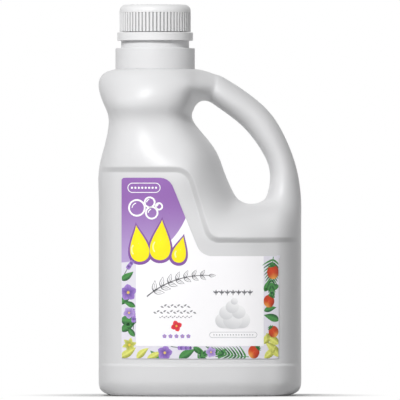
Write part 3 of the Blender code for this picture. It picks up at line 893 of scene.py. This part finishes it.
# %% Printed ground
PURPLE, LAVENDER = linear(150, 106, 177), linear(186, 163, 212)
CARD, BORDER = linear(252, 251, 253), linear(229, 226, 236)
FIELD_X, FIELD_Z, FIELD_RADIUS = -56, 142, 50
FIELD_FADE = (88 * MM, 140 * MM)
CARD_LEFT, CARD_RIGHT, CARD_FOOT, CARD_TOP = -44, 43.8, 34.6, 89.0
BORDER_TOP = (96 * MM, 100 * MM)
PRINT_EDGE = 0.2


def label_ground():
    """The printed ground of the label."""
    net = Net("label_film_print")
    where, (x, _, z) = net.place()

    def past(value, level):
        return net.step(value, (level - PRINT_EDGE) * MM, (level + PRINT_EDGE) * MM)

    away_x, away_z = x - FIELD_X * MM, z - FIELD_Z * MM
    outside_field = past((away_x * away_x + away_z * away_z) ** 0.5, FIELD_RADIUS)
    card = past(x, CARD_LEFT) * (1 - past(x, CARD_RIGHT)) * past(z, CARD_FOOT)
    upper = net.step(z, *BORDER_TOP)
    ground = net.blend(card + upper - card * upper, BORDER, CARD)
    field = net.blend(net.step(z, *FIELD_FADE), LAVENDER, PURPLE)
    ground = net.blend(outside_field, field, ground)
    return net.finish(
        Base_Color=ground,
        Roughness=0.26 + 0.05 * net.noise(where, 500.0),
        Specular_IOR_Level=0.3,
        Normal=net.bump(net.noise(where, 60.0), 0.08 * MM),
    )


paint(label_film.data, label_ground())
print(len(label_film.data.materials[0].node_tree.nodes), "nodes draw the printed ground")

# %% [markdown]
# The motifs on the print are too many and too irregular for shader arithmetic. They are thin
# patches of ink instead, most of them a strip of quads along a curved spine, with a colour for
# every point, laid on the film one layer over another. All of them are garden motifs made for
# this bottle: blossoms, sprigs, fern, berries, drops and foam bubbles.

# %% Ink patches
INK_STEP = 0.02 * MM


class Artwork:
    """Collects patches of ink as points on the label, faces and colours."""

    def __init__(self):
        self.points = []
        self.faces = []
        self.colours = []

    def patch(self, rows, shades, layer):
        """A grid of quads from rows of (x, z) in mm with a linear colour for each point."""
        first = len(self.points)
        width = len(rows[0])
        for row, row_shades in zip(rows, shades):
            for (x, z), shade in zip(row, row_shades):
                self.points.append((x, z, layer))
                self.colours.append((*shade, 1))
        for j in range(len(rows) - 1):
            for i in range(width - 1):
                a = first + j * width + i
                self.faces.append((a, a + 1, a + width + 1, a + width))


def mixed(first, second, share):
    """A colour part of the way from one to another."""
    share = min(1, max(0, share))
    return tuple(a + (b - a) * share for a, b in zip(first, second))


def spine(start, angle, length, bend, count):
    """Points and headings along a curve that starts at an angle and bends by so many degrees."""
    places = []
    x, z = start
    for step in range(count + 1):
        heading = math.radians(angle + bend * step / count)
        places.append((x, z, heading))
        x += math.cos(heading) * length / count
        z += math.sin(heading) * length / count
    return places


def on_circle(centre, radius, angle, squash=1.0):
    """A place on a circle, or on one squashed in height."""
    return centre[0] + radius * math.cos(angle), centre[1] + radius * squash * math.sin(angle)


def blade(art, line, width, shade, layer, across=4):
    """A leaf, petal or stem: width(t) in mm and shade(t, s), with s from -1 to 1 across it."""
    rows, shades = [], []
    for index, (x, z, heading) in enumerate(line):
        t = index / (len(line) - 1)
        half = width(t) / 2
        row, row_shades = [], []
        for step in range(across + 1):
            s = 2 * step / across - 1
            row.append((x - math.sin(heading) * half * s, z + math.cos(heading) * half * s))
            row_shades.append(shade(t, s))
        rows.append(row)
        shades.append(row_shades)
    art.patch(rows, shades, layer)


def disc(art, centre, radius, shade, layer, squash=1.0, rings=4, steps=24):
    """A round patch, shade(r, angle) with r from 0 in the middle to 1 at the rim."""
    rows, shades = [], []
    for ring in range(rings + 1):
        r = max(0.02, ring / rings)
        row, row_shades = [], []
        for step in range(steps + 1):
            angle = math.tau * step / steps
            row.append(on_circle(centre, radius * r, angle, squash))
            row_shades.append(shade(r, angle))
        rows.append(row)
        shades.append(row_shades)
    art.patch(rows, shades, layer)


art = Artwork()
print("ink tools ready")

# %% [markdown]
# Plants first. A leaf is widest a little before its middle and lighter to one side of its midrib.
# A blossom is a ring of petals round a small eye; a lavender sprig is a stem with buds in pairs;
# a frond is a midrib with long narrow leaflets; a rose hip is an oval with a few green sepals.
# Each could be drawn point by point, but a function for each kind grows it at any size and turn.

# %% Plants
LEAF_DARK, LEAF_LIGHT = linear(8, 66, 42), linear(76, 148, 74)
LIME_DARK, LIME_LIGHT = linear(134, 138, 26), linear(230, 232, 122)
VIOLET_DARK, VIOLET_LIGHT = linear(84, 52, 144), linear(174, 138, 216)
LILAC_DARK, LILAC_LIGHT = linear(116, 84, 170), linear(204, 180, 232)
RED_DARK, ORANGE, GLOW = linear(138, 22, 14), linear(222, 74, 22), linear(255, 186, 84)
EYE = linear(250, 214, 80)
FROND_LAYER, SPRIG_LAYER, FRUIT_LAYER = 2.5, 3, 4.5


def leaf(start, angle, length, width, bend=20, layer=2, tints=(LEAF_DARK, LEAF_LIGHT)):
    """A leaf with a light midrib and faint side veins."""

    def outline(t):
        return width * math.sin(math.pi * min(1, t ** 0.75)) + 0.05

    def shade(t, s):
        if s == 0:
            return tints[1]
        return mixed(*tints, 0.4 + 0.38 * s + 0.2 * t + 0.14 * (round(t * 12) % 2))

    blade(art, spine(start, angle, length, bend, 12), outline, shade, layer)


def stem(start, angle, length, bend=0, width=0.45, layer=2, colour=LEAF_DARK, count=8):
    """A thin line that tapers; returns its places, for what grows on it."""
    line = spine(start, angle, length, bend, count)
    blade(art, line, lambda t: width * (1 - 0.5 * t), lambda t, s: colour, layer, across=1)
    return line


def blossom(centre, size, turn=0, layer=4, tints=(VIOLET_DARK, VIOLET_LIGHT), petals=5, pointed=0.0):
    """A ring of petals, broad or pointed, round a small eye."""

    def outline(t):
        broad = math.sin(math.pi * min(1, 0.12 + 0.86 * t ** 1.3)) ** 0.8
        narrow = 1.2 * math.sin(math.pi * min(1, 0.08 + 0.92 * t ** 0.8))
        return size * (0.46 * (1 - pointed) * broad + 0.24 * pointed * narrow)

    for index in range(petals):

        def shade(t, s, lift=0.12 * (index % 2)):
            return mixed(*tints, 0.12 + 0.8 * t + lift - (0.2 if s == 0 else 0))

        line = spine(centre, turn + 360 * index / petals, size / 2, 12, 8)
        blade(art, line, outline, shade, layer + 0.15 * index)
    disc(art, centre, size * 0.1, lambda r, a: mixed(EYE, tints[0], r * 0.5), layer + 1, rings=2, steps=12)


def lavender(start, angle, length, bend):
    """A stem with buds in pairs that shorten towards its tip."""

    def bud_width(t):
        return 1.7 * math.sin(math.pi * (0.1 + 0.88 * t))

    line = stem(start, angle, length, bend, layer=SPRIG_LAYER)
    for index in range(3, len(line)):
        x, z, heading = line[index]

        def shade(t, s, start_tint=0.2 + 0.5 * (index % 2)):
            return mixed(VIOLET_DARK, VIOLET_LIGHT, start_tint + 0.4 * t)

        for side in (-42, 42, 0) if index == len(line) - 1 else (-42, 42):
            bud = spine((x, z), math.degrees(heading) + side, 2.7 - 0.14 * index, 0, 4)
            blade(art, bud, bud_width, shade, SPRIG_LAYER + 0.5, 2)


def frond(start, angle, length, reach, bend, pairs=12):
    """A palm-like leaf: long narrow leaflets in pairs along a midrib."""

    def leaflet_width(t):
        return 1.5 * (1 - t) ** 0.6 * min(1, 0.4 + 4 * t)

    line = spine(start, angle, length, bend, pairs)
    for index, (x, z, heading) in enumerate(line[1:], 1):
        along = index / pairs

        def shade(t, s, tone=0.15 + 0.6 * (index % 2)):
            return mixed(LEAF_DARK, LEAF_LIGHT, tone + 0.25 * t)

        for side in (-1, 1):
            turn = math.degrees(heading) + side * (64 - 38 * along)
            leaflet = spine((x, z), turn, reach * (1 - 0.45 * along), -side * 16, 7)
            blade(art, leaflet, leaflet_width, shade, FROND_LAYER, 2)
    stem(start, angle, length, bend, 0.6, FROND_LAYER + 0.2, LEAF_LIGHT)


def rose_hip(centre, radius, turn):
    """A ripe oval fruit with a yellow end and green sepals."""
    heading = math.radians(turn)

    def shade(r, angle):
        lit = 0.5 + 0.5 * math.cos(angle - 2.3)
        base = mixed(ORANGE, RED_DARK, 0.15 + 0.75 * r ** 1.4 * (1 - 0.6 * lit))
        return mixed(base, GLOW, max(0, -math.cos(angle - heading)) ** 3 * r * 0.8)

    disc(art, centre, radius, shade, FRUIT_LAYER, squash=1.18, rings=5)
    for side in (-70, -35, 0, 35, 70):
        start = on_circle(centre, radius * 0.75, heading, 1.2)
        leaf(start, turn + side, radius * 0.75, radius * 0.3, 10, FRUIT_LAYER + 0.5)


LIME, LILAC = (LIME_DARK, LIME_LIGHT), (LILAC_DARK, LILAC_LIGHT)
print("plant tools ready")

# %% [markdown]
# The plants grow inwards from the label's edges. Scattering them at random would leave gaps and
# heaps, so each is placed one by one: green leaves first, lime ones over them, then sprigs and
# fronds, and the blossoms and fruit on top.

# %% The planted border
for start, angle, length, width, bend in (
    ((-54.6, 80), 24, 10.5, 4.6, 20), ((-55, 63), 52, 12, 4.8, -18), ((-44.5, 61.5), 150, 9, 3.8, 16),
    ((-55, 52.6), -8, 13.5, 7.2, 16), ((-54.5, 44.6), 38, 12, 5.4, -16), ((-45, 41), 122, 9, 3.8, 20),
    ((-14.5, 26), 34, 13, 5.6, -10), ((-27, 26.2), 152, 9, 3.6, -18), ((3.5, 26), 122, 9, 3.6, 15),
    ((-4.6, 34), -38, 10, 4.2, 18), ((12.5, 26), 60, 9, 3.6, -20), ((54.4, 76.5), 206, 11, 4.4, -22),
    ((44.4, 72), 62, 9, 3.8, 18), ((54.6, 52), 152, 11.5, 5, 18), ((44, 58.6), 24, 9, 3.8, -16),
):
    leaf(start, angle, length, width, bend)
for start, angle, length, width, bend in (
    ((-55.2, 27), 22, 13, 5.2, 20), ((-43.5, 26), 52, 11, 4.6, -24), ((-36.5, 26.2), 18, 12, 4.2, 18),
    ((54.8, 27), 124, 15, 5.8, 22), ((54.6, 36), 150, 12, 5.4, -20), ((44.2, 26.2), 36, 12, 5, 26),
    ((43.6, 36), 58, 12, 4.8, -18),
):
    leaf(start, angle, length, width, bend, 3, LIME)
lavender((-52, 84), 62, 11, -12)
lavender((-46, 46), 84, 13, 14)
lavender((-20, 34.4), -12, 13, 16)
frond((33.5, 27.2), 176, 26, 9.5, -12)
frond((50.5, 96), 262, 24, 9, 12)
frond((-2, 25), 44, 10, 5, -20, pairs=7)
blossom((-49.4, 71.4), 11.6, 20)
blossom((-48.8, 57.4), 8.2, 50, 4, LILAC)
blossom((-48.6, 35.4), 10.6, 12, 4, LIME, 6, 1)
blossom((-24.2, 30), 10.4, 5)
blossom((7.6, 30.4), 7.4, 30, 4, LILAC)
for centre, radius, turn in (
    ((50.2, 85.4), 4.1, 100), ((47.4, 65.4), 3.7, 60), ((50.6, 44.4), 3.4, 130), ((37, 30.6), 3.9, 40),
):
    rose_hip(centre, radius, turn)
print(len(art.faces), "patches of plants")

# %% [markdown]
# The purple field carries the bold part of the print: three plump yellow drops with a dark
# outline, bubbles in white line, and a narrow frame of small dots. A drop's edge is one formula,
# so the outline behind it is simply the same drop, a little larger.

# %% Drops and bubbles
YELLOW, YELLOW_DEEP, YELLOW_PALE = linear(255, 244, 8), linear(252, 222, 0), linear(255, 252, 176)
OUTLINE = linear(132, 84, 162)
WHITE = linear(255, 255, 255)


def drop(centre, radius, height, lean, shade, layer):
    """A drop of soap: a round foot that runs up into a tip; shade(r) from middle to rim."""
    turn = Matrix.Rotation(math.radians(lean), 2)
    rows, shades = [], []
    for ring in (0.02, 0.35, 0.7, 1.0):
        row = []
        for step in range(41):
            angle = math.tau * step / 40
            x = 1.3 * radius * math.sin(angle) * math.sin(angle / 2) ** 1.6
            row.append(Vector(centre) + ring * (turn @ Vector((x, math.cos(angle) * height / 2))))
        rows.append(row)
        shades.append([shade(ring)] * len(row))
    art.patch(rows, shades, layer)


def ring_line(centre, radius, width, colour, layer, start=0.0, sweep=360.0):
    """A circle or part of one, drawn as a line."""
    steps = max(6, round(abs(sweep) / 9))
    rows = []
    for step in range(steps + 1):
        angle = math.radians(start + sweep * step / steps)
        rows.append([on_circle(centre, radius + side * width, angle) for side in (-0.5, 0.5)])
    art.patch(rows, [[colour, colour] for _ in rows], layer)


def bar_frame(left, foot, right, top, width, colour, layer):
    """A rounded frame drawn as a line."""
    radius = (top - foot) / 2
    middle = (top + foot) / 2
    ring_line((left + radius, middle), radius, width, colour, layer, 90, 180)
    ring_line((right - radius, middle), radius, width, colour, layer, -90, 180)
    for z in (foot, top):
        line = [(left + radius + (right - left - 2 * radius) * k / 12, z, 0.0) for k in range(13)]
        blade(art, line, lambda t: width, lambda t, s: colour, layer, across=1)


def dots(left, right, z, radius, count, colour, layer):
    """A row of small round dots."""
    for index in range(count):
        x = left + (right - left) * index / (count - 1)
        disc(art, (x, z), radius, lambda r, a: colour, layer, rings=1, steps=12)


for centre, radius, height, lean in (
    ((-42.2, 105.2), 7.4, 25.5, 8), ((-27.0, 107.6), 8.0, 28.0, -4), ((-13.6, 101.0), 5.4, 18.5, -14),
):
    drop(centre, radius + 1.7, height + 4.2, lean, lambda r: OUTLINE, 3)
    drop(centre, radius, height, lean, lambda r: mixed(YELLOW, YELLOW_DEEP, 0.5 * r), 6)
    ring_line((centre[0], centre[1] - height * 0.17), radius * 0.66, 0.9, YELLOW_PALE, 7, 140, 80)
for centre, radius in (
    ((-43.4, 129.6), 5.4), ((-34.6, 133.4), 3.4), ((-33.2, 126.2), 4.0), ((-28.2, 130.6), 2.2),
):
    ring_line(centre, radius, 1.2, WHITE, 3)
    ring_line(centre, radius * 0.6, 0.7, WHITE, 3, 100, 80)
bar_frame(-49.6, 140.2, -27.4, 146.6, 0.5, WHITE, 3)
dots(-46.8, -30.2, 143.4, 0.75, 8, WHITE, 3)
print(len(art.faces), "patches with the drops and bubbles")

# %% [markdown]
# The card covers the plants' inner ends. On it are a drawn branch in fine grey line, rows of
# small leaves and sprouts, a red blossom, violet florets, and a heap of soft foam. They use the
# same leaf, stem and blossom as the border, in other colours, so the print looks of one hand.

# %% Card ornaments
GREY, GREY_SOFT = linear(84, 84, 88), linear(150, 150, 155)
CARD_LAYER = 6
TOP_LAYER = 7

card_columns = np.linspace(CARD_LEFT + 0.1, CARD_RIGHT, 45)
card_rows = [[(x, z) for x in card_columns] for z in np.linspace(CARD_FOOT, CARD_TOP, 29)]
art.patch(card_rows, [[CARD] * len(row) for row in card_rows], CARD_LAYER)


def drawn_leaf(place, turn, length, width):
    """A leaf in line: a grey one, a smaller one in the card's white, and a midrib."""
    leaf(place, turn, length, width, 8, TOP_LAYER, (GREY, GREY))
    inner = spine(place, turn, 0.1 * length, 0, 1)[-1][:2]
    leaf(inner, turn, length * 0.84, width - 0.8, 8, TOP_LAYER + 0.5, (CARD, CARD))
    stem(place, turn, length * 0.7, 8, 0.35, TOP_LAYER + 1, GREY)


branch = stem((-36.5, 68.6), 40, 46, -44, 0.8, TOP_LAYER, GREY, 24)
for index in range(3, 24, 3):
    x, z, heading = branch[index]
    share = index / 24
    for side in (-44, 44):
        drawn_leaf((x, z), math.degrees(heading) + side, 8.2 - 3.6 * share, 3.4 - 1.4 * share)
drawn_leaf(branch[-1][:2], math.degrees(branch[-1][2]), 5.0, 2.2)
for left, right, z, length in ((-27, -6, 62.0, 2.4), (-32, -2, 58.0, 2.4), (-28, -5, 54.6, 1.5)):
    for index in range(round((right - left) / (length * 0.95))):
        turn = 35 if index % 2 else -25
        leaf((left + index * length * 0.95, z), turn, length, length * 0.42, 0, TOP_LAYER, (GREY, GREY_SOFT))
for index in range(7):
    x = 11 + 3.9 * index
    stem((x, 69.6), 90, 3.6, 0, 0.5, TOP_LAYER, GREY)
    for turn in (40, 140, 90):
        leaf((x, 70.8), turn, 2.7, 1.1, 0, TOP_LAYER, (GREY, GREY_SOFT))
blossom((-16.2, 48.4), 7.8, 18, TOP_LAYER, (linear(196, 12, 40), linear(238, 62, 78)), 4)
for index in range(5):
    blossom((-24.4 + 4.1 * index, 41.4), 3.2, 18, TOP_LAYER, LILAC)
bar_frame(6.6, 40.4, 39.2, 44.2, 0.3, linear(170, 170, 176), TOP_LAYER)
dots(9.6, 36.2, 42.3, 0.42, 15, GREY_SOFT, TOP_LAYER)
FOAM_LIGHT, FOAM_DARK = linear(244, 244, 245), linear(168, 169, 174)
disc(art, (22.6, 48.4), 11.6, lambda r, a: mixed(linear(146, 146, 152), CARD, r), TOP_LAYER, squash=0.22)


def foam_shade(r, angle):
    lit = 0.5 + 0.5 * math.sin(angle + 0.5)
    return mixed(FOAM_DARK, FOAM_LIGHT, 0.45 + 0.6 * lit * r + 0.35 * (1 - r))


for index, (x, z, radius) in enumerate((
    (16, 52.2, 5.6), (28.8, 52.4, 5.8), (22.4, 52.6, 6.6), (18.2, 57.6, 5), (26.6, 58, 4.8),
    (22.2, 61.6, 4.6), (23.6, 65.4, 2.4),
)):
    disc(art, (x, z), radius, foam_shade, TOP_LAYER + 0.3 + 0.2 * index, squash=0.95)
print(len(art.faces), "patches of ink in all")

# %% [markdown]
# Ink has next to no thickness, but faces in one place flicker. So each layer of patches stands a
# fiftieth of a millimetre before the one below it, which can't be seen. One mesh holds them all,
# with the colours as a point attribute that the ink's material reads.

# %% Ink on the film
INK_LEFT, INK_RIGHT, INK_FOOT, INK_TOP = -53.8, 54.0, 26.1, 150.1


def ink_mesh(artwork):
    """The collected patches as one mesh, laid on the film."""
    places = []
    for x, z, layer in artwork.points:
        x = min(INK_RIGHT, max(INK_LEFT, x)) * MM
        z = min(INK_TOP, max(INK_FOOT, z)) * MM
        places.append((x, skin_depth(x, z) - FILM_GAP - FILM - (1 + layer) * INK_STEP, z))
    faces = []
    for face in artwork.faces:
        a, b, c = (Vector(places[corner]) for corner in face[:3])
        d = Vector(places[face[3]])
        facing = (c - a).cross(d - b).y
        if abs(facing) > 1e-12:
            faces.append(face if facing < 0 else face[::-1])
    mesh = bpy.data.meshes.new("label_ink")
    mesh.from_pydata(places, [], faces)
    layer = mesh.color_attributes.new("ink", "FLOAT_COLOR", "POINT")
    layer.data.foreach_set("color", np.array(artwork.colours, np.float32).ravel())
    mesh.shade_smooth()
    return mesh


def ink_finish():
    net = Net("printing_ink")
    where, _ = net.place()
    colour = net.node("ShaderNodeAttribute", {"attribute_name": "ink"})
    fleck = net.noise(where, 900.0)
    return net.finish(
        Base_Color=net.blend(fleck * 0.03, colour, (1.0, 1.0, 1.0)),
        Roughness=0.26 + 0.05 * net.noise(where, 500.0),
        Specular_IOR_Level=0.3,
    )


label_ink = new_piece("label_ink", ink_mesh(art), ink_finish())
dress(label_ink, "bottle")

# %% [markdown]
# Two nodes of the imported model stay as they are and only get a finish: the foam liner inside the
# cap, and the soap that shows when one looks down the open neck. Both follow one noise, fine for
# the liner's cells and broad for the slow swirls of the soap.

# %% Liner and soap
def speckled(name, scale, tints, roughness, spread, dent, **sockets):
    """A finish whose colour, roughness and relief follow one noise."""
    net = Net(name)
    cells = net.noise(net.place()[0], scale)
    colour = net.blend(cells, *tints)
    return net.finish(
        Base_Color=colour, Roughness=roughness + spread * cells, Normal=net.bump(cells, dent), **sockets
    )


FOAM_TINTS = ((0.66, 0.66, 0.66), (0.74, 0.74, 0.74))
SOAP_TINTS = ((0.74, 0.80, 0.76), (0.80, 0.84, 0.80))
liner_foam = speckled("liner_foam", 1800.0, FOAM_TINTS, 0.6, 0.1, 0.05 * MM)
liquid_soap = speckled("liquid_soap", 40.0, SOAP_TINTS, 0.06, 0.04, 0.2 * MM, IOR=1.36)
for node, finish in (("cap_liner", liner_foam), ("soap_fill", liquid_soap)):
    paint(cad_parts[node].data, finish)
print("liner and soap dressed")

# %% [markdown]
# The studio is a pale floor under a white surround. A soft box stands in front, to the left and
# above, and a weaker one fills from the right. One from behind keeps the back from going grey; it
# gives no gloss, which would draw a bright line round the bottle. The world lights all sides. A
# white world could light everything alone, but then a white bottle would show no form, so the
# world is dim for the bottle's light and white only where the camera or a gloss looks at it.

# %% Floor and light
HORIZON_STRENGTH, ZENITH_STRENGTH = 0.31, 0.08
FLOOR_RADIUS, FADE_START, FADE_END = 1.2, 0.045, 0.1
FADE_STRETCH = 0.53


def area_light(name, place, target, size, power):
    data = bpy.data.lights.new(name, "AREA")
    data.shape = "RECTANGLE"
    data.size, data.size_y = size
    data.energy = power
    made = bpy.data.objects.new(name, data)
    bpy.context.scene.collection.objects.link(made)
    made.location = place
    made.rotation_mode = "QUATERNION"
    made.rotation_quaternion = (Vector(target) - Vector(place)).to_track_quat("-Z", "Y")
    return made


area_light("key", (-0.46, -1.2, 1.08), (-0.03, 0, 0.14), (0.4, 0.4), 22.5)
area_light("fill", (1.2, -0.25, 0.3), (0, 0, 0.13), (0.7, 0.9), 0.6)
back_light = area_light("back", (0.1, 1.15, 0.25), (0, 0, 0.13), (0.7, 0.5), 4.8)
back_light.visible_glossy = False


def background_rays(net):
    """1 for rays from the camera, a gloss or a clear surface, which see a white surround."""
    rays = net.node("ShaderNodeLightPath", output="Is Camera Ray")
    for other in net.beside(rays, "Is Glossy Ray", "Is Transmission Ray"):
        rays = rays.calculate("MAXIMUM", rays, other)
    return rays


def floor_finish():
    """Pale floor that fades to the white surround away from the bottle."""
    net = Net("studio_floor")
    _, (x, y, _) = net.place()
    reach = (x * x * FADE_STRETCH + y * y) ** 0.5
    far = net.step(reach, FADE_START, FADE_END)
    seen = background_rays(net)
    glow = net.node("ShaderNodeEmission", None, {"Color": (1, 1, 1), "Strength": 1.0})
    net.finish(Base_Color=(0.55, 0.55, 0.55), Roughness=0.7)
    ground = Signal(net, net.shader.outputs[0])
    mixed_ground = net.node("ShaderNodeMixShader", None, [far * seen, ground, glow])
    net.link(net.tree.nodes["Material Output"].inputs["Surface"], mixed_ground)
    return net.material


floor_bm = bmesh.new()
bmesh.ops.create_circle(floor_bm, cap_ends=True, segments=96, radius=FLOOR_RADIUS)
floor = new_piece("floor", mesh_from(floor_bm, "floor"), floor_finish())

world = bpy.data.worlds.new("studio")
bpy.context.scene.world = world
world.use_nodes = True
surround = Nodes(world.node_tree)
direction = surround.node("ShaderNodeTexCoord", output="Generated")
height = surround.node("ShaderNodeSeparateXYZ", None, [direction], "Z")
dimming = {"Value": height, "To Min": HORIZON_STRENGTH, "To Max": ZENITH_STRENGTH}
lighting = surround.node("ShaderNodeMapRange", None, dimming)
seen_white = {"Value": background_rays(surround), "To Min": lighting, "To Max": 1.0}
background = surround.tree.nodes["Background"]
surround.link(background.inputs["Color"], (1, 1, 1))
surround.link(background.inputs["Strength"], surround.node("ShaderNodeMapRange", None, seen_white))
print("studio ready")
